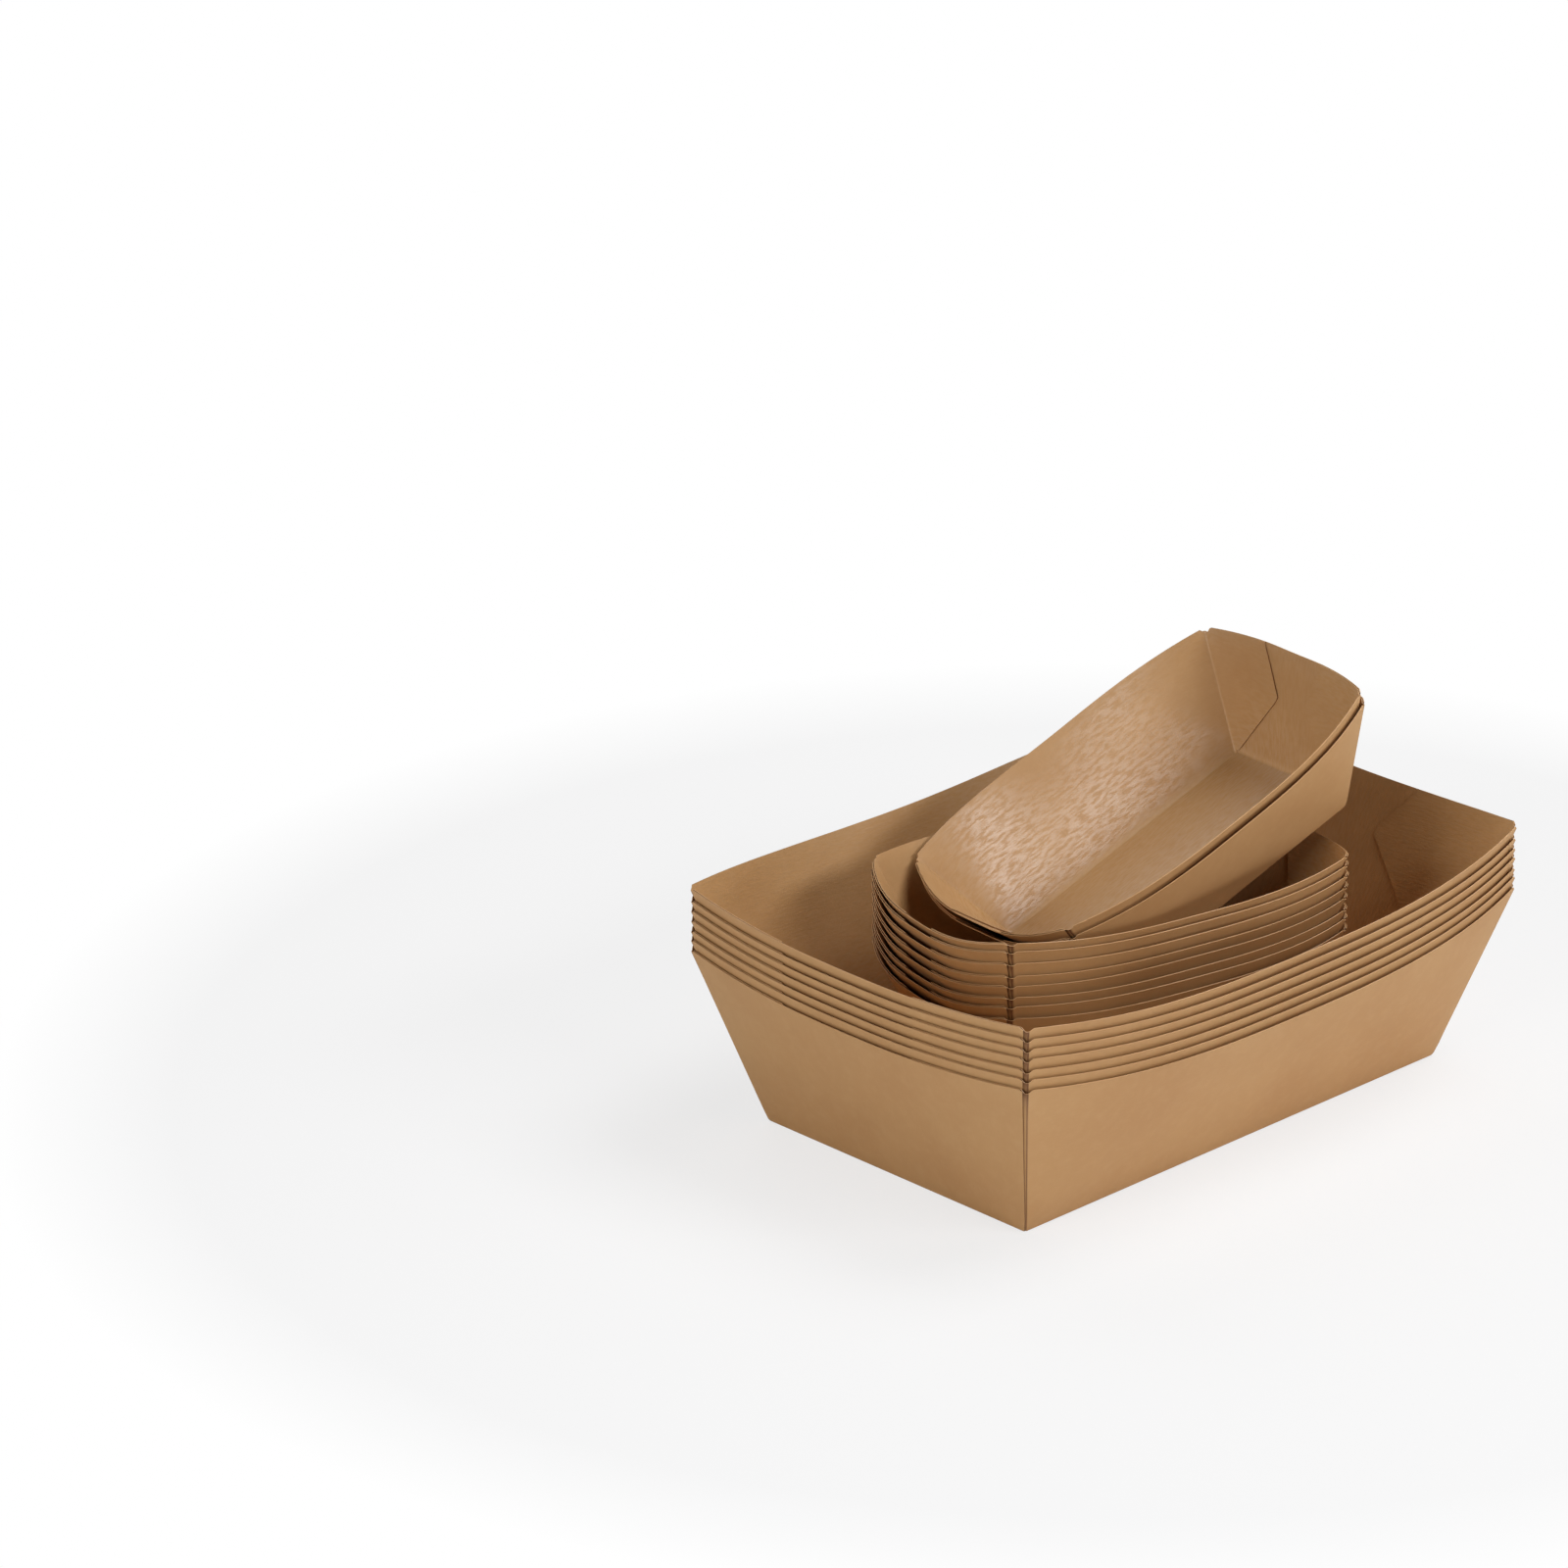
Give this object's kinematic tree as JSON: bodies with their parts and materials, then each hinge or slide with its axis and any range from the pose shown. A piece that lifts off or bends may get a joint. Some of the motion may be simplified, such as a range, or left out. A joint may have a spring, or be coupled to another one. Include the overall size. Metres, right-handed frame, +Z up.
{
  "type": "stack of folded paperboard trays",
  "caption": "Stack of open folded kraft board trays with flared, bowed walls: large ones nested, smaller ones nested inside the top one, and small ones aslant on top.",
  "frame": {"origin": "middle of the lowest tray's base, on its underside", "axes": "+X along the large trays' long side, +Y across them, +Z up"},
  "size_m": [0.2222, 0.1622, 0.1277],
  "materials": {
    "kraft_board": "uncoated brown kraft board, faintly fibrous, low sheen"
  },
  "bodies": {
    "root": {"large_tray_1": "kraft_board", "large_tray_2": "kraft_board", "large_tray_3": "kraft_board", "large_tray_4": "kraft_board", "large_tray_5": "kraft_board", "large_tray_6": "kraft_board", "large_tray_7": "kraft_board", "small_tray_1": "kraft_board", "small_tray_2": "kraft_board", "small_tray_3": "kraft_board", "small_tray_4": "kraft_board", "small_tray_5": "kraft_board", "small_tray_6": "kraft_board", "small_tray_7": "kraft_board", "small_tray_8": "kraft_board", "tilted_tray_1": "kraft_board", "tilted_tray_2": "kraft_board"}
  },
  "joints": []
}
